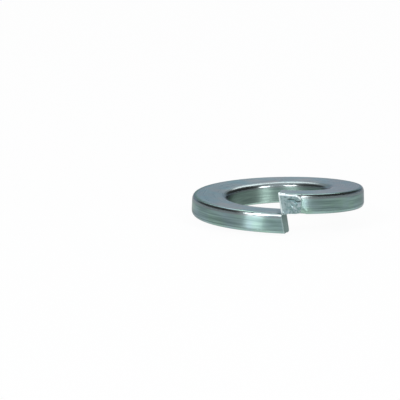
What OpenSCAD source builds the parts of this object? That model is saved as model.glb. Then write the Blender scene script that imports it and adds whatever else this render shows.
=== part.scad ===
// Split spring lock washer with a rectangular section, for an M12 right-hand thread.
// The wire makes one turn of a left-hand helix round +Z. The split faces -Y: the low
// end lies left of it and the raised end right of it, seen from the front.
// The origin is on the bore axis, level with the lowest edge of the low end.

/* [Bore and wire] */
// Diameter of the bore
bore_d = 12.2; // [10:0.1:16]
// Radial width of the wire's section
wire_b = 4.2; // [3:0.1:5.5]
// Thickness of the wire's section
wire_s = 2.4; // [1.8:0.1:3.5]
// Height of the rounding on the section's two outer edges
edge_out_h = 0.6; // [0.2:0.05:0.9]
// Radial width of that rounding
edge_out_w = 0.35; // [0.2:0.05:0.7]
// Height of the rounding on the inner top edge
edge_top_h = 0.6; // [0.2:0.05:0.9]
// Radial width of that rounding
edge_top_w = 0.85; // [0.2:0.05:1.2]
// Radius of the inner bottom edge
edge_low_r = 0.35; // [0.2:0.05:0.7]
// Swelling of the wire's underside at the bore, where the coiling squeezes it
swell_down = 0.13; // [0:0.01:0.25]
// Swelling of the wire's top at the bore
swell_up = 0.04; // [0:0.01:0.2]
// Tilt of the section, its inner edge low
dish = 2; // [0:0.5:5]

/* [Helix and split] */
// Height that the wire climbs in its one turn
rise = 2.4; // [0:0.1:4]
// Width of the slit between the two cut ends, square to the cut
split_gap = 0.1; // [0.1:0.05:1.5]
// Angle of the cut to the radius, seen from above
cut_skew = 12; // [0:1:20]
// Lean of the cut from upright, seen from the front
cut_lean = 11; // [0:1:12]

/* [Sheared ends] */
// Length along the wire of the edge that the shear rolled over
roll_len = 0.5; // [0.2:0.1:1]
// Drop of the low end's rolled-over top edge
roll_drop = 0.04; // [0:0.02:0.4]
// Sag of the raised end's outer bottom edge, squeezed down by the pressed flat
tip_sag = 0.12; // [0:0.02:0.2]
// Length along the wire in which the low end's top straightens to the cut
end_len = 6; // [2:0.5:8]
// Rise of its inner edge at the cut
end_up = 0.16; // [0:0.02:0.24]
// Length along the wire of the two flats that the shear pressed on the raised end's outside
flat_len = 2.9; // [1:0.1:4]
// Depth of the nearer flat at the cut
flat_depth = 0.45; // [0.1:0.05:0.7]
// Share of that length, from the cut, where the two flats meet
flat_meet = 0.36; // [0.25:0.01:0.5]
// Share of that depth where they meet
meet_depth = 0.6; // [0.5:0.02:0.7]

/* [Fineness] */
// Even steps round the turn
steps = 108; // [60:4:140]
// Steps round each edge of the section
edge_steps = 5; // [3:1:5]

/* [Hidden] */
bore_r = bore_d / 2;
outer_r = bore_r + wire_b;
mid_r = bore_r + wire_b / 2;
height = wire_s + rise + wire_b * tan(dish);
// The swept walls stand this far past the true cylinders that cut them back
skin = 0.02;
// Length of those cylinders past the washer
run_out = 2;

// Section: an anticlockwise loop of [radius, height], from the inner bottom edge on
function corner(cr, cz, w, h, a0) =
    [for (k = [0 : edge_steps]) let (a = a0 + 90 * k / edge_steps) [cr + w * cos(a), cz + h * sin(a)]];
section = concat(
    corner(bore_r - skin + edge_low_r, edge_low_r - swell_down, edge_low_r, edge_low_r, 180),
    corner(outer_r + skin - edge_out_w, edge_out_h, edge_out_w, edge_out_h, 270),
    corner(outer_r + skin - edge_out_w, wire_s - edge_out_h, edge_out_w, edge_out_h, 0),
    corner(bore_r - skin + edge_top_w, wire_s + swell_up - edge_top_h, edge_top_w, edge_top_h, 90));
loop_n = len(section);

// Height of the helix at the angle a from -Y: the raised end is at 0, the low end at 360
function climb(a) = rise * (1 - a / 360);

// Angle at which the circle of radius r meets the cut plane at height z.
// half_gap moves the plane square to itself, to the right when positive.
function cut_angle(r, z, half_gap) =
    let (reach = mid_r * tan(cut_skew) + half_gap / cos(cut_skew) - (z - height / 2) * tan(cut_lean))
    asin(reach * cos(cut_skew) / r) - cut_skew;
function start_angle(p) = cut_angle(p[0], climb(0) + p[1], split_gap / 2);
function end_angle(p) = 360 + cut_angle(p[0], climb(360) + p[1], -split_gap / 2);

// Rows along the wire: close together over the rolled edges, less close over the flat
// and a little past it, then even
function arc(len) = len / mid_r * 180 / PI;
roll_rows = [0, 0.12, 0.3, 0.6, 1];
flat_rows = 8;
flat_zone = 1.2 * flat_len;
row_angles = concat(
    [for (s = roll_rows) arc(s * roll_len)],
    [for (k = [1 : flat_rows]) arc(roll_len + (flat_zone - roll_len) * k / flat_rows)],
    [for (k = [1 : steps - 1]) arc(flat_zone) + (360 - arc(flat_zone + roll_len)) * k / steps],
    [for (k = [len(roll_rows) - 1 : -1 : 0]) 360 - arc(roll_rows[k] * roll_len)]);
row_n = len(row_angles);

// The flats are two chords in plan, given by the points [x, -y] where they start and meet
function flat_point(len, depth) =
    let (a = tip_a + len / outer_r * 180 / PI, r = outer_r - depth) [r * sin(a), r * cos(a)];
tip_a = start_angle([outer_r, wire_s / 2]);
flat_end_a = tip_a + flat_len / outer_r * 180 / PI;
flat_points = [flat_point(0, flat_depth), flat_point(flat_len * flat_meet, flat_depth * meet_depth), flat_point(flat_len, 0)];
function chord_r(p, q, a) = let (n = [q[1] - p[1], p[0] - q[0]]) n * q / (n * [sin(a), cos(a)]);
function flat_r(a) = a > flat_end_a + 20 ? 2 * outer_r
    : min(chord_r(flat_points[0], flat_points[1], a), chord_r(flat_points[1], flat_points[2], a));

// 1 at a cut, falling to 0 at the length len from it
function near(dist, len) = dist >= len ? 0 : 1 - dist / len;

// Where the section point p lies on the row at the angle t
function body_point(p, t) =
    let (a0 = start_angle(p), a1 = end_angle(p), a = a0 + (a1 - a0) * t / 360,
         top = max(0, min(1, p[1] / wire_s)),
         from_start = (a - a0) * mid_r * PI / 180,
         to_end = (a1 - a) * mid_r * PI / 180,
         drop = roll_drop * pow(near(to_end, roll_len), 2) * top,
         sag = tip_sag * near(from_start, flat_len * flat_meet) * (1 - top) * (p[0] - bore_r) / wire_b,
         up = end_up * pow(near(to_end, end_len), 2) * top * (outer_r - p[0]) / wire_b,
         r = min(p[0], flat_r(a)))
    [r * sin(a), -r * cos(a), climb(a) + p[1] + (r - bore_r) * tan(dish) - drop - sag + up];

points = [for (t = row_angles) for (p = section) body_point(p, t)];
lowest = min([for (p = points) p[2]]);
sides = [for (i = [0 : row_n - 2]) for (j = [0 : loop_n - 1])
    let (k = (j + 1) % loop_n, a = i * loop_n + j, b = i * loop_n + k, c = b + loop_n, d = a + loop_n)
    each [[a, b, c], [a, c, d]]];
caps = [[for (j = [loop_n - 1 : -1 : 0]) j], [for (j = [0 : loop_n - 1]) (row_n - 1) * loop_n + j]];

// The coiled wire with its two sheared ends, set down on z = 0
module coil() {
    translate([0, 0, -lowest]) polyhedron(points = points, faces = concat(sides, caps), convexity = 6);
}

// A true cylinder on the bore axis, past the washer at both ends
module round_bar(r) {
    translate([0, 0, -run_out]) rotate([0, 0, -90]) cylinder(h = height + 2 * run_out, r = r, $fn = 180);
}

// The washer: the coil made true at its outside and its bore
module washer() {
    color([0.62, 0.68, 0.69])
    difference() {
        intersection() {
            coil();
            round_bar(outer_r);
        }
        round_bar(bore_r);
    }
}

washer();
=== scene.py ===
# Spring lock washer for an M12 thread, coiled from rectangular wire and zinc plated.
# The wire is drawn and bent in millimetres and brought to metres at the end.
# The split is at the front, -Y, with the low end left of it and the raised end right of it.

import math

import bmesh
import bpy
from mathutils import Matrix, Quaternion, Vector


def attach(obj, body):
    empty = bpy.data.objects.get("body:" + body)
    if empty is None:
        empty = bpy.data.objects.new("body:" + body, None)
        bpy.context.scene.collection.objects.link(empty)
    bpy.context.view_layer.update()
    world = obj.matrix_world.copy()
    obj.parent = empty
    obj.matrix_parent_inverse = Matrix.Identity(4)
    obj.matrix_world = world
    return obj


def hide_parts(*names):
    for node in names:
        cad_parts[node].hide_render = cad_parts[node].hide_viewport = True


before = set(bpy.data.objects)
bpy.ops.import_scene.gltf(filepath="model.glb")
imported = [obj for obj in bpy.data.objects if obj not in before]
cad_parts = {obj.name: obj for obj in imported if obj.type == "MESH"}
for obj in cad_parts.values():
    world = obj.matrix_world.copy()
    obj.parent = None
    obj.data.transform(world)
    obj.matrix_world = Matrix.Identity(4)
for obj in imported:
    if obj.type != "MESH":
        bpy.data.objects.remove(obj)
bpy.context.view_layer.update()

# Wire and coil, in millimetres and degrees. Each edge's rounding has a width and a height.
BORE_R = 6.1
WIRE_W = 4.2
WIRE_S = 2.4
OUTER_EDGE = (0.35, 0.6)
INNER_TOP_EDGE = (0.85, 0.6)
INNER_LOW_EDGE = (0.35, 0.35)
INNER_UP = 0.04
INNER_DOWN = 0.13
DISH = 2.0
RISE = 2.4
SPLIT_GAP = 0.06
CUT_SKEW = 11.9
CUT_LEAN = 11.0
OUTER_R = BORE_R + WIRE_W
MID_R = BORE_R + WIRE_W / 2

# Height from which the cut's lean is measured, about half way up the washer
MID_Z = 2.47
# Height of the low end's underside at the bore, before the wire swells
REST = 0.17
# Heights of the flat tops of the low and the raised end, at the bore
LOW_TOP = REST + WIRE_S
HIGH_TOP = REST + RISE + WIRE_S

# Bands in which the shear's changes start: under the top, over an underside and behind the outside
TOP_BAND = 0.35
FOOT_BAND = 0.5
OUTER_BAND = 0.8

# Sheared ends, in millimetres, and the angle in degrees that straightens the low end's top
ROLL_LENGTH = 0.5
ROLL_DROP = 0.04
END_LENGTH = 6.0
END_UP = 2.2
TIP_SAG = 0.13
BURR = 0.1
BURR_LENGTH = 1.2
UNTURN_LENGTH = 1.5
FLAT_LENGTH = 2.65
FACET_LENGTH = 1.05
FLAT_DEPTH = 0.45
FACET_DEPTH = 0.27
RIM_HEIGHT = 0.12
RIM_RISE = 0.07
RIM_REACH = 0.55
CUT_EDGE = 0.02

# The two creases of the flats are smoothed over these reaches, each so many times
MEET_SMOOTHING = ((0.1, 4),)
FAR_SMOOTHING = ((0.55, 12), (0.33, 30), (0.55, 6))
RIM_SMOOTHING = 16

# Where the flats' far edge starts to slant down across the rounding, and its slope
SLANT_X = 1.3
SLANT = 0.75

# Scars on the flats, from one place to another along the front and height
SCARS = (((0.32, 4.42), (0.94, 4.38)), ((1.18, 4.28), (1.42, 4.08)), ((1.42, 4.08), (1.72, 4.22)))
SCAR_WIDTH = 0.065
SCAR_DEPTH = 0.03
SCAR_REACH = 0.16

# Bruises on the flats: place along the front and height, then depth and reach. A bruise
# with a depth below zero is swollen.
BRUISES = (
    (0.66, 3.7, -0.07, 0.18), (0.74, 3.5, -0.08, 0.18), (0.84, 3.3, -0.07, 0.18),
    (1.16, 3.24, 0.08, 0.22), (1.42, 3.06, 0.09, 0.24), (1.56, 3.4, -0.06, 0.22), (1.69, 3.14, 0.08, 0.22),
    (0.44, 3.0, 0.06, 0.3), (1.09, 3.75, -0.05, 0.3),
)
BRUISE_SPOT = 0.045

# Depth of the band behind the outermost place of the wire that bruises and scars reach
FRONT_BAND = 0.6

# Fineness
COIL_STEPS = 900
EDGE_STEPS = 6
WALL_ROWS = 17
FACE_ROWS = 7
CUT_EDGE_STEPS = 3
# The section's straight sides are longer than this, and the pieces of its roundings shorter
LONG_SIDE = 1
# Only the two cut faces have more corners than this
MANY_CORNERS = 20
SAME_PLACE = 0.01

# Softboxes: azimuth from the front to the right, elevation, width and height in metres, radiance
SOFTBOXES = {
    "front_left_softbox": (-38.5, 33, 0.3, 0.25, 12.0),
    "front_right_softbox": (26, 32, 0.27, 0.25, 12.0),
    "back_left_softbox": (-169, 52, 0.25, 0.46, 1.8),
    "back_right_softbox": (155, 53, 0.25, 0.44, 1.9),
}
SOFTBOX_DISTANCE = 0.8

# The backdrop: pale lilac at the horizon, blue above it and grey towards the ceiling
BACKDROP = (
    (0.1, (0.53, 0.58, 0.7)), (0.22, (0.45, 0.6, 0.72)),
    (0.35, (0.5, 0.56, 0.6)), (0.6, (0.55, 0.57, 0.6)),
)
# The sides darken between these distances from their middle, and above the horizon
DARK_SIDE = (0.05, 0.05, 0.05)
SIDES_MIDDLE = -0.065
SIDES_FADE = (0.32, 0.55)
HORIZON_FADE = (0, 0.35)

FLOOR_SIZE = 4
FLOOR_WHITE = (0.9, 0.9, 0.9)
FLOOR_GLOW = 0.95

# Tones of the zinc. A pair of tones gives the pattern's value at which each is reached.
TOP_TONES = ((0.3, (0.4, 0.56, 0.6)), (0.7, (0.56, 0.56, 0.56)))
WALL_TONES = ((0.35, (0.34, 0.51, 0.43)), (0.65, (0.36, 0.49, 0.52)))
BORE_TONE = (0.42, 0.58, 0.52)
EDGE_TONE = (0.36, 0.42, 0.42)
LINE_TONE = (0.14, 0.22, 0.21)
# Painted highlight along the cut edges of the wire
CUT_EDGE_HIGHLIGHT = (0.66, 0.78, 0.77)
CUT_TONES = ((0.3, (0.19, 0.29, 0.27)), (0.7, (0.28, 0.41, 0.38)))
PRESSED_TONES = ((0.4, (0.2, 0.31, 0.31)), (0.62, (0.42, 0.52, 0.53)))
SPECK_TONE = (0.12, 0.18, 0.18)
# Painted highlight on the pressed flats' rim and cut edges
RIM_EDGE_HIGHLIGHT = (0.88, 0.96, 0.95)
# Painted shade in the scars' grooves, near black
SCAR_SHADE_TONES = ((0.4, (0.03, 0.05, 0.05)), (0.6, (0.12, 0.17, 0.17)))

# Grain of the zinc: how often each pattern repeats in a millimetre, and along the wire in a radian
LINES_FINE = 5.5
LINES_LONG = 2.2
PATCHES_FINE = 0.45
SPECKS_FINE = 7
DABS_FINE = 2.2

# Camera, in millimetres, with its roll in degrees and its range in metres
CAMERA_AT = Vector((-35.607, -404.954, 69.606))
CAMERA_AIM = Vector((-9.321, 0.703, 2.563))
CAMERA_ROLL = 0.626
CAMERA_LENS = 308.86
SENSOR_WIDTH = 36
CAMERA_RANGE = (0.01, 20)

TO_METRES = 0.001


def pick(wire, wanted, kind="verts"):
    """Selects the vertices, edges or faces that wanted() says yes to."""
    mesh = bmesh.from_edit_mesh(wire.data)
    for element in mesh.verts[:] + mesh.edges[:] + mesh.faces[:]:
        element.select = False
    chosen = [element for element in getattr(mesh, kind) if wanted(element)]
    for element in chosen:
        element.select_set(True)
    mesh.select_flush_mode()
    bmesh.update_edit_mesh(wire.data)


def edit(wire, mode="VERT"):
    """Opens one piece alone in edit mode."""
    bpy.ops.object.select_all(action="DESELECT")
    bpy.context.view_layer.objects.active = wire
    wire.select_set(True)
    bpy.ops.object.mode_set(mode="EDIT")
    bpy.ops.mesh.select_mode(type=mode)


def turn(degrees, axis, centre, **near):
    """Turns the selection anticlockwise, seen from the axis's positive end."""
    # Without a window the operator turns the other way
    angle = -math.radians(degrees)
    bpy.ops.transform.rotate(
        value=angle, orient_axis=axis, orient_type="GLOBAL", center_override=centre, **near)


def stretch(factors, centre):
    """Scales the selection from a centre."""
    bpy.ops.transform.resize(value=factors, orient_type="GLOBAL", center_override=centre)


def move(step, **near):
    """Moves the selection by a step."""
    bpy.ops.transform.translate(value=step, **near)


def with_neighbours(change, reach, *details):
    """Makes a change that fades out over the reach, along the surface."""
    change(*details, use_proportional_edit=True, use_proportional_connected=True,
           proportional_edit_falloff="SMOOTH", proportional_size=reach)


def flatten(centre, normal):
    """Presses the selection on to the upright plane through centre."""
    across = Vector((-normal.y, normal.x, 0))
    axes = Matrix((across, normal, Vector((0, 0, 1)))).transposed()
    bpy.ops.transform.resize(
        value=(1, 0, 1), orient_type="GLOBAL", orient_matrix=axes, orient_matrix_type="GLOBAL",
        center_override=centre)


def past_split(place):
    """Distance from the middle of the slit, positive on the raised end's side."""
    skew = math.radians(CUT_SKEW)
    lean = math.tan(math.radians(CUT_LEAN)) * (place.z - MID_Z)
    return (place.x + lean) * math.cos(skew) - (place.y + MID_R) * math.sin(skew)


def on_raised_end(v):
    """True for the wire of the raised end, whose underside nearly meets the low end's top."""
    slit = REST + RISE + 0.02
    underside = v.co.z > slit - 0.4 and v.normal.z < 0
    return v.co.z > slit + 0.3 or (underside and past_split(v.co) > -0.2)


def in_front_band(v):
    """True near the outermost place of the front, where the marks on the flats are."""
    return v.co.y < -OUTER_R + FRONT_BAND


def from_stroke(place, start, end):
    """How far a place is from a stroke, seen from the front."""
    near = Vector(start)
    run = Vector(end) - near
    spot = Vector((place.x, place.z))
    share = max(0, min(1, (spot - near).dot(run) / run.length_squared))
    return (spot - near - run * share).length


def cut_loop(wire, side):
    """The vertices round an open end: side is 1 for the raised end and -1 for the low end."""
    mesh = bmesh.from_edit_mesh(wire.data)
    mesh.verts.index_update()
    start = max((v for v in mesh.verts if v.is_boundary), key=lambda v: v.co.z * side)
    found = {start.index}
    waiting = [start]
    while waiting:
        vertex = waiting.pop()
        for e in vertex.link_edges:
            beside = e.other_vert(vertex)
            if e.is_boundary and beside.index not in found:
                found.add(beside.index)
                waiting.append(beside)
    return found


def round_edge(wire, corner, size):
    """Rounds one edge of the wire. Size is the rounding's width and height."""
    width, height = size
    pick(wire, lambda v: (v.co - corner).length < SAME_PLACE)
    bpy.ops.mesh.bevel(offset_type="OFFSET", offset=height, segments=EDGE_STEPS, affect="VERTICES")
    stretch((1, width / height, 1), corner)


def draw_section():
    """The outline of the wire at the raised end, lying in the plane of the cut."""
    skew_run = math.tan(math.radians(CUT_SKEW))
    lean_run = math.tan(math.radians(CUT_LEAN))
    reach = WIRE_W / 2 * skew_run
    outer_y = -math.sqrt(OUTER_R ** 2 - reach ** 2)
    inner_y = -math.sqrt(BORE_R ** 2 - reach ** 2)
    centre = Vector((0, (outer_y + inner_y) / 2, WIRE_S / 2))

    bpy.ops.mesh.primitive_plane_add(size=1, location=centre, rotation=(0, math.radians(90), 0))
    wire = bpy.context.object
    wire.name = "washer_zinc"
    wire.data.name = "washer_zinc"
    wire.scale = (WIRE_S, inner_y - outer_y, 1)
    bpy.ops.object.transform_apply(location=True, rotation=True, scale=True)

    edit(wire)
    round_edge(wire, Vector((0, outer_y, WIRE_S)), OUTER_EDGE)
    round_edge(wire, Vector((0, outer_y, 0)), OUTER_EDGE)
    round_edge(wire, Vector((0, inner_y, WIRE_S)), INNER_TOP_EDGE)
    round_edge(wire, Vector((0, inner_y, 0)), INNER_LOW_EDGE)

    # Coiling swells the inner side of the wire
    pick(wire, lambda v: v.co.y > centre.y and v.co.z > centre.z)
    move((0, 0, INNER_UP))
    pick(wire, lambda v: v.co.y > centre.y and v.co.z < centre.z)
    move((0, 0, -INNER_DOWN))

    # Rows across the outer wall for the press marks, fewer on the other faces
    pick(wire, lambda f: True, "faces")
    bpy.ops.mesh.delete(type="ONLY_FACE")
    on_wall = lambda e: e.verts[0].co.y < outer_y + SAME_PLACE
    pick(wire, lambda e: e.calc_length() > LONG_SIDE and on_wall(e), "edges")
    bpy.ops.mesh.subdivide(number_cuts=WALL_ROWS)
    pick(wire, lambda e: e.calc_length() > LONG_SIDE, "edges")
    bpy.ops.mesh.subdivide(number_cuts=FACE_ROWS)

    # Tilt the section, then lay it in the slanting plane of the cut. The wire comes down
    # a little between the cut's inner and outer ends, so the tilt makes up for that.
    bpy.ops.mesh.select_all(action="SELECT")
    come_down = RISE * 2 * reach / (2 * math.pi * MID_R) / WIRE_W
    turn(-DISH - math.degrees(come_down), "X", centre)
    slope = math.hypot(skew_run, lean_run)
    steepest = math.degrees(math.atan2(lean_run, skew_run))
    turn(steepest, "X", centre)
    stretch((1, math.hypot(1, slope), 1), centre)
    turn(-math.degrees(math.atan(slope)), "Z", centre)
    turn(-steepest, "X", centre)

    # The lean is measured from half way up the washer, so the raised end starts further left
    half_gap = SPLIT_GAP / 2 / math.cos(math.radians(CUT_SKEW))
    lift = RISE + REST + WIRE_W / 2 * math.tan(math.radians(DISH))
    across = half_gap - lean_run * (lift + WIRE_S / 2 - MID_Z)
    move((across, 0, lift))
    bpy.ops.object.mode_set(mode="OBJECT")
    return wire


def coil(wire):
    """Carries the section once round the bore while it comes down."""
    lean_back = math.tan(math.radians(CUT_LEAN)) * RISE
    missing = (SPLIT_GAP / math.cos(math.radians(CUT_SKEW)) - lean_back) / MID_R
    turned = 2 * math.pi - missing
    screw = wire.modifiers.new("coil", "SCREW")
    screw.axis = "Z"
    screw.angle = turned
    screw.screw_offset = -RISE * turned / (2 * math.pi)
    screw.steps = COIL_STEPS
    screw.render_steps = COIL_STEPS
    bpy.ops.object.modifier_apply(modifier="coil")

    # The turn past the full circle has turned the low end's cut too, so it is turned back
    edit(wire)
    low_end = cut_loop(wire, -1)
    pick(wire, lambda v: v.index in low_end)
    hinge = Vector((lean_back / 2, -MID_R, 0))
    with_neighbours(turn, UNTURN_LENGTH, math.degrees(missing), "Z", hinge)
    bpy.ops.object.mode_set(mode="OBJECT")


def shear_ends(wire):
    """Straightens the low end's top, pulls its lower edge to a burr and sags the raised tip."""
    edit(wire)
    low_end = cut_loop(wire, -1)
    raised_end = cut_loop(wire, 1)
    on_top = lambda v: v.co.z > LOW_TOP - TOP_BAND
    at_inner_foot = lambda v: v.co.z < REST + FOOT_BAND and v.co.y > -MID_R + 0.5
    at_outer_foot = lambda v: v.co.z < RISE + REST + FOOT_BAND and v.co.y < -OUTER_R + OUTER_BAND
    pick(wire, lambda v: v.index in low_end and on_top(v))
    with_neighbours(turn, END_LENGTH, END_UP, "X", Vector((0, -OUTER_R, LOW_TOP)))
    with_neighbours(move, ROLL_LENGTH, (0, 0, -ROLL_DROP))
    pick(wire, lambda v: v.index in low_end and at_inner_foot(v))
    with_neighbours(move, BURR_LENGTH, (0, 0, -BURR))
    pick(wire, lambda v: v.index in raised_end and at_outer_foot(v))
    with_neighbours(move, FACET_LENGTH, (0, 0, -TIP_SAG))
    bpy.ops.object.mode_set(mode="OBJECT")


def press_flats(wire):
    """Presses the shear's two flats on the outside of the raised end, with their marks."""
    edit(wire)
    cut_x = -math.tan(math.radians(CUT_LEAN)) * (REST + RISE + WIRE_S / 2 - MID_Z)
    cut_x -= math.tan(math.radians(CUT_SKEW)) * WIRE_W / 2

    def plan_point(length, depth):
        """A place on the flats, seen from above."""
        angle = cut_x / OUTER_R + length / OUTER_R
        r = OUTER_R - depth
        return Vector((r * math.sin(angle), -r * math.cos(angle), 0))

    tip = plan_point(0, FLAT_DEPTH)
    meet = plan_point(FACET_LENGTH, FACET_DEPTH)
    far = plan_point(FLAT_LENGTH, 0)
    for near, off in ((meet, far), (tip, meet)):
        along = (off - near).normalized()
        normal = Vector((along.y, -along.x, 0))
        raised = lambda v: v.co.x < far.x + 0.3 and v.co.y < -BORE_R and on_raised_end(v)
        pick(wire, lambda v: raised(v) and (v.co - near).dot(normal) > 0)
        flatten(near, normal)

    # Soften the two creases across the wall, the far one most
    under_edge = HIGH_TOP - OUTER_EDGE[1] - 0.05
    wall_band = 1.4
    smoothings = [(meet, *step) for step in MEET_SMOOTHING] + [(far, *step) for step in FAR_SMOOTHING]
    for crease, reach, repeats in smoothings:
        beside = lambda v: abs(v.co.x - crease.x) < reach and not v.is_boundary
        wall = lambda v: v.co.y < -OUTER_R + wall_band and v.co.z < under_edge
        pick(wire, lambda v: beside(v) and wall(v) and on_raised_end(v))
        bpy.ops.mesh.vertices_smooth(factor=0.5, repeat=repeats, xaxis=False, yaxis=True, zaxis=False)

    # Round the edge between the flats and the top, and raise it, less towards its far end
    rim_band = 0.9
    on_rim = lambda v: v.co.z > HIGH_TOP - RIM_HEIGHT and v.co.y < -OUTER_R + rim_band
    rim = lambda v: v.co.x < far.x and on_rim(v)
    pick(wire, lambda v: rim(v) and not v.is_boundary)
    bpy.ops.mesh.vertices_smooth(factor=0.5, repeat=RIM_SMOOTHING)
    pick(wire, lambda v: rim(v) and v.co.x < far.x - 0.5)
    with_neighbours(move, RIM_REACH, (0, 0, RIM_RISE))

    for x, z, depth, reach in BRUISES:
        bruise(wire, x, z, depth, reach)
    for start, end in SCARS:
        pick(wire, lambda v: in_front_band(v) and from_stroke(v.co, start, end) < SCAR_WIDTH)
        with_neighbours(move, SCAR_REACH, (0, SCAR_DEPTH, 0))
    bpy.ops.object.mode_set(mode="OBJECT")


def bruise(wire, x, z, depth, reach):
    """Dents the front of the raised end, or swells it when the depth is negative."""
    spot = Vector((x, z))
    away = lambda v: (Vector((v.co.x, v.co.z)) - spot).length
    pick(wire, lambda v: in_front_band(v) and away(v) < BRUISE_SPOT)
    with_neighbours(move, reach, (0, depth, 0))


def close_ends(wire):
    """Closes both cut ends and rounds their cut edges a little."""
    edit(wire, "EDGE")
    for side in (1, -1):
        end = cut_loop(wire, side)
        pick(wire, lambda e: e.is_boundary and e.verts[0].index in end, "edges")
        bpy.ops.mesh.edge_face_add()
    bpy.ops.mesh.select_all(action="SELECT")
    bpy.ops.mesh.normals_make_consistent(inside=False)
    pick(wire, lambda e: any(len(f.verts) > MANY_CORNERS for f in e.link_faces), "edges")
    bpy.ops.mesh.bevel(offset=CUT_EDGE, segments=CUT_EDGE_STEPS, affect="EDGES", clamp_overlap=False)
    bpy.ops.object.mode_set(mode="OBJECT")


def maths(tree, operation, first, second=None):
    """Works out one or two values, each a number or a socket."""
    node = tree.nodes.new("ShaderNodeMath")
    node.operation = operation
    for socket, given in zip(node.inputs, (first, second)):
        if given is None:
            continue
        if isinstance(given, (int, float)):
            socket.default_value = given
        else:
            tree.links.new(given, socket)
    return node.outputs[0]


def spread(tree, given, low, high, to_low, to_high):
    """Maps a value smoothly from one range to another."""
    node = tree.nodes.new("ShaderNodeMapRange")
    node.interpolation_type = "SMOOTHSTEP"
    tree.links.new(given, node.inputs["Value"])
    node.inputs["From Min"].default_value = low
    node.inputs["From Max"].default_value = high
    node.inputs["To Min"].default_value = to_low
    node.inputs["To Max"].default_value = to_high
    return node.outputs[0]


def noise(tree, place, scale, fourth=None):
    """Noise in three dimensions, or in four when a fourth socket is given."""
    node = tree.nodes.new("ShaderNodeTexNoise")
    node.inputs["Scale"].default_value = scale
    node.inputs["Detail"].default_value = 2
    tree.links.new(place, node.inputs["Vector"])
    if fourth is not None:
        node.noise_dimensions = "4D"
        tree.links.new(fourth, node.inputs["W"])
    return node.outputs["Fac"]


def tint(tree, given, stops, easing="LINEAR"):
    """Colours a value by stops, each a position with its colour."""
    ramp = tree.nodes.new("ShaderNodeValToRGB")
    ramp.color_ramp.interpolation = easing
    elements = ramp.color_ramp.elements
    while len(elements) < len(stops):
        elements.new(0.5)
    tree.links.new(given, ramp.inputs["Fac"])
    for element, (position, colour) in zip(elements, stops):
        element.position = position
        element.color = colour + (1,)
    return ramp.outputs["Color"]


def two_tones(tree, mask, first, second):
    """Mixes two colours, or colour sockets, by a mask."""
    mix = tree.nodes.new("ShaderNodeMix")
    mix.data_type = "RGBA"
    tree.links.new(mask, mix.inputs["Factor"])
    for socket, given in ((mix.inputs[6], first), (mix.inputs[7], second)):
        if isinstance(given, tuple):
            socket.default_value = given + (1,)
        else:
            tree.links.new(given, socket)
    return mix.outputs[2]


def relief(tree, shader, height, strength, depth):
    """Raises the surface by a pattern. The depth is in metres."""
    bump = tree.nodes.new("ShaderNodeBump")
    bump.inputs["Strength"].default_value = strength
    bump.inputs["Distance"].default_value = depth
    tree.links.new(height, bump.inputs["Height"])
    tree.links.new(bump.outputs["Normal"], shader.inputs["Normal"])


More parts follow.
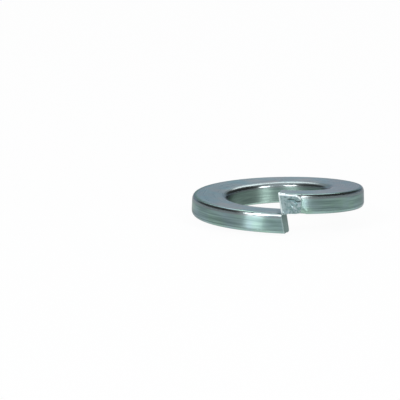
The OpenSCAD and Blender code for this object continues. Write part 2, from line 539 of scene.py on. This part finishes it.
def wire_grain():
    """A group that tells the wire's places apart and gives its drawn lines, patches and specks."""
    group = bpy.data.node_groups.new("wire_grain", "ShaderNodeTree")
    for name in ("Wall", "Side", "Inner", "Cut", "Rim", "Lines", "Patches", "Specks", "Dabs"):
        group.interface.new_socket(name=name, in_out="OUTPUT", socket_type="NodeSocketFloat")
    nodes = group.nodes
    links = group.links
    out = nodes.new("NodeGroupOutput")
    coord = nodes.new("ShaderNodeTexCoord")
    in_mm = nodes.new("ShaderNodeVectorMath")
    in_mm.operation = "SCALE"
    in_mm.inputs["Scale"].default_value = 1 / TO_METRES
    links.new(coord.outputs["Object"], in_mm.inputs[0])
    split = nodes.new("ShaderNodeSeparateXYZ")
    links.new(in_mm.outputs[0], split.inputs[0])
    x = split.outputs["X"]
    y = split.outputs["Y"]
    z = split.outputs["Z"]

    # Distance from the bore axis
    squares = maths(group, "ADD", maths(group, "MULTIPLY", x, x), maths(group, "MULTIPLY", y, y))
    radius = maths(group, "SQRT", squares)

    # Height with the climb taken out, so that it is the same all round. Where the wire
    # reaches past the front, the low end and the raised end are a whole turn out.
    way_round = maths(group, "ARCTAN2", x, maths(group, "MULTIPLY", y, -1))
    way_round = maths(group, "FRACT", maths(group, "DIVIDE", way_round, 2 * math.pi))
    climbed = maths(group, "MULTIPLY", maths(group, "SUBTRACT", 1, way_round), RISE)
    height = maths(group, "SUBTRACT", z, climbed)
    above = maths(group, "GREATER_THAN", height, LOW_TOP + 0.05)
    below = maths(group, "LESS_THAN", height, REST - 0.07)
    put_right = maths(group, "MULTIPLY", maths(group, "SUBTRACT", below, above), RISE)
    height = maths(group, "ADD", height, put_right)

    # The walls lie near the outer and inner radius, under the rounded top edges
    near_outside = spread(group, radius, OUTER_R - 0.6, OUTER_R - 0.5, 0, 1)
    near_bore = spread(group, radius, BORE_R + 0.2, BORE_R + 0.3, 1, 0)
    walls = []
    for edge, high in (
            (near_outside, REST + (WIRE_S - OUTER_EDGE[1] + 0.15)),
            (near_bore, REST + (WIRE_S - INNER_TOP_EDGE[1]))):
        under_top = spread(group, height, high - 0.06, high + 0.1, 1, 0)
        walls.append(maths(group, "MULTIPLY", edge, under_top))
    links.new(maths(group, "MAXIMUM", walls[0], walls[1]), out.inputs["Wall"])

    # The sides are the walls with their rounded edges
    edge_r = OUTER_R - OUTER_EDGE[0]
    outer_side = spread(group, radius, edge_r - 0.1, edge_r + 0.05, 0, 1)
    inner_side = spread(group, radius, BORE_R + 0.3, BORE_R + 0.7, 1, 0)
    links.new(maths(group, "MAXIMUM", outer_side, inner_side), out.inputs["Side"])
    links.new(inner_side, out.inputs["Inner"])

    # The cut edges, where a bright highlight is painted, lie along the slanting plane of the cut
    skew = math.radians(CUT_SKEW)
    lean_run = math.tan(math.radians(CUT_LEAN))
    leant = maths(group, "MULTIPLY", maths(group, "SUBTRACT", z, MID_Z), lean_run)
    sideways = maths(group, "MULTIPLY", maths(group, "ADD", x, leant), math.cos(skew))
    slanted = maths(group, "MULTIPLY", maths(group, "ADD", y, MID_R), math.sin(skew))
    from_cut = maths(group, "ABSOLUTE", maths(group, "SUBTRACT", sideways, slanted))
    in_front = maths(group, "LESS_THAN", y, -BORE_R + 0.5)
    at_cut = maths(group, "MULTIPLY", spread(group, from_cut, 0.06, 0.2, 1, 0), in_front)
    links.new(at_cut, out.inputs["Cut"])

    # The flats' upper rim, where a highlight is painted, level at first and then slanting down across the
    # rounding
    past = maths(group, "MAXIMUM", maths(group, "SUBTRACT", x, SLANT_X), 0)
    levelled = maths(group, "ADD", height, maths(group, "MULTIPLY", past, SLANT))
    rim_at = LOW_TOP - RIM_HEIGHT
    links.new(spread(group, levelled, rim_at - 0.1, rim_at, 0, 1), out.inputs["Rim"])

    # Lines drawn along the wire: fine across it, long along it, and closed round the turn
    across = nodes.new("ShaderNodeCombineXYZ")
    links.new(maths(group, "MULTIPLY", radius, LINES_FINE), across.inputs["X"])
    links.new(maths(group, "MULTIPLY", height, LINES_FINE), across.inputs["Y"])
    turned = maths(group, "MULTIPLY", maths(group, "DIVIDE", x, radius), LINES_LONG)
    links.new(turned, across.inputs["Z"])
    along = maths(group, "MULTIPLY", maths(group, "DIVIDE", y, radius), LINES_LONG)
    links.new(noise(group, across.outputs[0], 1, along), out.inputs["Lines"])
    links.new(noise(group, in_mm.outputs[0], PATCHES_FINE), out.inputs["Patches"])
    links.new(noise(group, in_mm.outputs[0], SPECKS_FINE), out.inputs["Specks"])

    # The dabs are faint on the smooth flat at the tip
    dabs = maths(group, "SUBTRACT", noise(group, in_mm.outputs[0], DABS_FINE), 0.5)
    dabs = maths(group, "MULTIPLY", dabs, spread(group, x, 0.1, 0.5, 0.3, 1))
    links.new(maths(group, "ADD", dabs, 0.5), out.inputs["Dabs"])
    return group


def new_metal(name, grain):
    """Bare metal with the wire's grain. Gives the material, its nodes, shader and marks."""
    metal = bpy.data.materials.new(name)
    metal.use_nodes = True
    tree = metal.node_tree
    shader = tree.nodes["Principled BSDF"]
    shader.inputs["Metallic"].default_value = 1
    marks = tree.nodes.new("ShaderNodeGroup")
    marks.node_tree = grain
    return metal, tree, shader, marks.outputs


def plate_wire(name, grain, drawn_out, flat_rough, edge_rough, bore_rough, grazing):
    """Bright zinc on drawn wire, whose lines run round the bore. Grazing dims its sheen."""
    zinc, tree, shader, marks = new_metal(name, grain)
    wall = tint(tree, marks["Patches"], WALL_TONES)
    wall = two_tones(tree, marks["Inner"], wall, BORE_TONE)
    top = tint(tree, marks["Patches"], TOP_TONES)
    rounded = two_tones(tree, marks["Side"], top, EDGE_TONE)
    plain = two_tones(tree, marks["Wall"], rounded, wall)
    streaky = spread(tree, marks["Lines"], 0.3, 0.7, 0, 0.5)
    streaky = maths(tree, "MULTIPLY", streaky, marks["Wall"])
    colour = two_tones(tree, streaky, plain, LINE_TONE)
    # Painted highlight: the wire's cut edges are coloured bright
    painted_highlight = maths(tree, "MULTIPLY", marks["Cut"], 0.5)
    colour = two_tones(tree, painted_highlight, colour, CUT_EDGE_HIGHLIGHT)
    tree.links.new(colour, shader.inputs["Base Color"])

    # Highlights are drawn out across the lines
    shader.inputs["Specular Tint"].default_value = (grazing, grazing, grazing, 1)
    shader.inputs["Anisotropic"].default_value = drawn_out
    shader.inputs["Anisotropic Rotation"].default_value = 0.25
    round_bore = tree.nodes.new("ShaderNodeTangent")
    round_bore.direction_type = "RADIAL"
    round_bore.axis = "Z"
    tree.links.new(round_bore.outputs[0], shader.inputs["Tangent"])

    rough = spread(tree, marks["Side"], 0, 1, flat_rough, edge_rough)
    rougher = spread(tree, marks["Inner"], 0, 1, 0, bore_rough - edge_rough)
    uneven = spread(tree, marks["Lines"], 0.3, 0.7, -0.04, 0.04)
    rough = maths(tree, "ADD", rough, rougher)
    tree.links.new(maths(tree, "ADD", rough, uneven), shader.inputs["Roughness"])
    grooved = spread(tree, marks["Wall"], 0, 1, 0.04, 1)
    relief(tree, shader, maths(tree, "MULTIPLY", marks["Lines"], grooved), strength=0.5, depth=0.00002)
    return zinc


def plate_cut(grain):
    """The dull faces of the shear's cut."""
    zinc, tree, shader, marks = new_metal("zinc_cut", grain)
    tree.links.new(tint(tree, marks["Specks"], CUT_TONES), shader.inputs["Base Color"])
    shader.inputs["Specular Tint"].default_value = (0.55, 0.55, 0.55, 1)
    shader.inputs["Roughness"].default_value = 0.45
    relief(tree, shader, marks["Specks"], strength=0.6, depth=0.00005)
    return zinc


def plate_pressed(grain):
    """The pale, bruised flats that the clamp pressed, with a highlight painted on their rim and cut edges.
    """
    zinc, tree, shader, marks = new_metal("zinc_pressed", grain)
    pale = tint(tree, marks["Dabs"], PRESSED_TONES)
    speckled = spread(tree, marks["Specks"], 0.36, 0.46, 0.7, 0)
    speckled = two_tones(tree, speckled, pale, SPECK_TONE)
    # Painted highlight: the flats' cut edges and rim are coloured bright
    painted_highlight = maths(tree, "MULTIPLY", marks["Cut"], 0.75)
    painted_highlight = maths(tree, "MAXIMUM", painted_highlight, marks["Rim"])
    colour = two_tones(tree, painted_highlight, speckled, RIM_EDGE_HIGHLIGHT)
    tree.links.new(colour, shader.inputs["Base Color"])
    shader.inputs["Roughness"].default_value = 0.33
    relief(tree, shader, marks["Dabs"], strength=0.6, depth=0.00012)
    return zinc


def plate_scar_shade(grain):
    """The scars on the flats, painted near black as painted shade in their grooves."""
    zinc, tree, shader, marks = new_metal("zinc_scar_shade", grain)
    tree.links.new(tint(tree, marks["Specks"], SCAR_SHADE_TONES), shader.inputs["Base Color"])
    shader.inputs["Roughness"].default_value = 0.6
    return zinc


def on_flats(f):
    """True for faces on the pressed flats and their rim, inside the round wall."""
    place = f.calc_center_median() / TO_METRES
    inside = OUTER_R - Vector((place.x, place.y, 0)).length
    slanting = HIGH_TOP - SLANT * (place.x - SLANT_X)
    far = FLAT_LENGTH - 0.8
    facing = f.normal.y < -0.25 and place.y < -OUTER_R + OUTER_BAND
    return facing and inside > 0.04 and RISE < place.z < slanting and place.x < far


def in_scar(f):
    """True for faces of the flats that a scar runs over."""
    place = f.calc_center_median() / TO_METRES
    return on_flats(f) and any(from_stroke(place, *stroke) < SCAR_WIDTH for stroke in SCARS)


def give(wire, finish, wanted):
    """Gives a finish to the faces that wanted() says yes to."""
    edit(wire, "FACE")
    pick(wire, wanted, "faces")
    wire.active_material_index = wire.data.materials.find(finish.name)
    bpy.ops.object.material_slot_assign()
    bpy.ops.object.mode_set(mode="OBJECT")


def plate(wire):
    """Plates the washer. The flat top comes first and is kept where no other finish goes."""
    grain = wire_grain()
    top = plate_wire(
        "zinc_top", grain, drawn_out=0.35, flat_rough=0.31, edge_rough=0.22, bore_rough=0.22, grazing=0.55)
    wall = plate_wire(
        "zinc_wall", grain, drawn_out=1.0, flat_rough=0.39, edge_rough=0.39, bore_rough=0.62, grazing=0.65)
    cut_face = plate_cut(grain)
    pressed = plate_pressed(grain)
    scar_shade = plate_scar_shade(grain)
    for finish in (top, wall, cut_face, pressed, scar_shade):
        wire.data.materials.append(finish)
    give(wire, wall, lambda f: abs(f.normal.z) < 0.35)
    give(wire, pressed, on_flats)
    give(wire, scar_shade, in_scar)
    give(wire, cut_face, lambda f: len(f.verts) > MANY_CORNERS)


def lay_floor():
    """A white floor that keeps its shadow. Seen or mirrored, it glows as white as paper."""
    bpy.ops.mesh.primitive_plane_add(size=FLOOR_SIZE, location=(0, 0, 0))
    floor = bpy.context.object
    floor.name = "floor"
    white = bpy.data.materials.new("white_floor")
    white.use_nodes = True
    tree = white.node_tree
    nodes = tree.nodes
    links = tree.links
    nodes.clear()
    out = nodes.new("ShaderNodeOutputMaterial")
    mix = nodes.new("ShaderNodeMixShader")
    matt = nodes.new("ShaderNodeBsdfDiffuse")
    matt.inputs["Color"].default_value = FLOOR_WHITE + (1,)
    glow = nodes.new("ShaderNodeEmission")
    path = nodes.new("ShaderNodeLightPath")
    seen = maths(tree, "MAXIMUM", path.outputs["Is Camera Ray"], path.outputs["Is Glossy Ray"])
    seen = maths(tree, "MAXIMUM", seen, path.outputs["Is Transmission Ray"])
    links.new(maths(tree, "MULTIPLY", seen, FLOOR_GLOW), mix.inputs[0])
    links.new(matt.outputs[0], mix.inputs[1])
    links.new(glow.outputs[0], mix.inputs[2])
    links.new(mix.outputs[0], out.inputs["Surface"])
    floor.data.materials.append(white)


def hang_softbox(name, azimuth, elevation, width, height, radiance):
    """Hangs a soft lamp and aims it at the washer."""
    turned = math.radians(azimuth)
    up = math.radians(elevation)
    back = Vector((math.sin(turned) * math.cos(up), -math.cos(turned) * math.cos(up), math.sin(up)))
    data = bpy.data.lights.new(name, "AREA")
    data.shape = "RECTANGLE"
    data.size = width
    data.size_y = height
    data.energy = radiance * math.pi * width * height
    lamp = bpy.data.objects.new(name, data)
    bpy.context.collection.objects.link(lamp)
    lamp.location = back * SOFTBOX_DISTANCE
    lamp.rotation_mode = "QUATERNION"
    lamp.rotation_quaternion = (-back).to_track_quat("-Z", "Y")


def light_room():
    """Four softboxes, a pale lilac backdrop and dark sides."""
    for name, values in SOFTBOXES.items():
        hang_softbox(name, *values)

    room = bpy.data.worlds.new("room")
    room.use_nodes = True
    bpy.context.scene.world = room
    tree = room.node_tree
    nodes = tree.nodes
    links = tree.links
    nodes.clear()
    out = nodes.new("ShaderNodeOutputWorld")
    background = nodes.new("ShaderNodeBackground")
    place = nodes.new("ShaderNodeTexCoord")
    split = nodes.new("ShaderNodeSeparateXYZ")
    links.new(place.outputs["Generated"], split.inputs[0])
    backdrop = tint(tree, split.outputs["Z"], BACKDROP, "EASE")

    sideways = maths(tree, "ABSOLUTE", maths(tree, "SUBTRACT", split.outputs["X"], SIDES_MIDDLE))
    aside = spread(tree, sideways, *SIDES_FADE, 0, 1)
    above = spread(tree, split.outputs["Z"], *HORIZON_FADE, 0, 1)
    dark = maths(tree, "MULTIPLY", aside, above)
    links.new(two_tones(tree, dark, backdrop, DARK_SIDE), background.inputs["Color"])
    links.new(background.outputs[0], out.inputs["Surface"])


def set_camera():
    """Looks at the washer from the front, a little from above."""
    data = bpy.data.cameras.new("camera")
    data.lens = CAMERA_LENS
    data.sensor_width = SENSOR_WIDTH
    data.clip_start, data.clip_end = CAMERA_RANGE
    camera = bpy.data.objects.new("camera", data)
    bpy.context.collection.objects.link(camera)
    camera.location = CAMERA_AT * TO_METRES
    camera.rotation_mode = "QUATERNION"
    level = (CAMERA_AIM - CAMERA_AT).to_track_quat("-Z", "Y")
    camera.rotation_quaternion = level @ Quaternion((0, 0, 1), math.radians(CAMERA_ROLL))
    bpy.context.scene.camera = camera


wire = draw_section()
coil(wire)
shear_ends(wire)
press_flats(wire)
close_ends(wire)
wire.scale = (TO_METRES,) * 3
bpy.ops.object.transform_apply(location=False, rotation=False, scale=True)
bpy.ops.object.shade_smooth_by_angle(angle=math.radians(30))

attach(wire, "root")
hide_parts("washer")

plate(wire)
lay_floor()
light_room()
set_camera()
bpy.context.scene.view_settings.view_transform = "Standard"
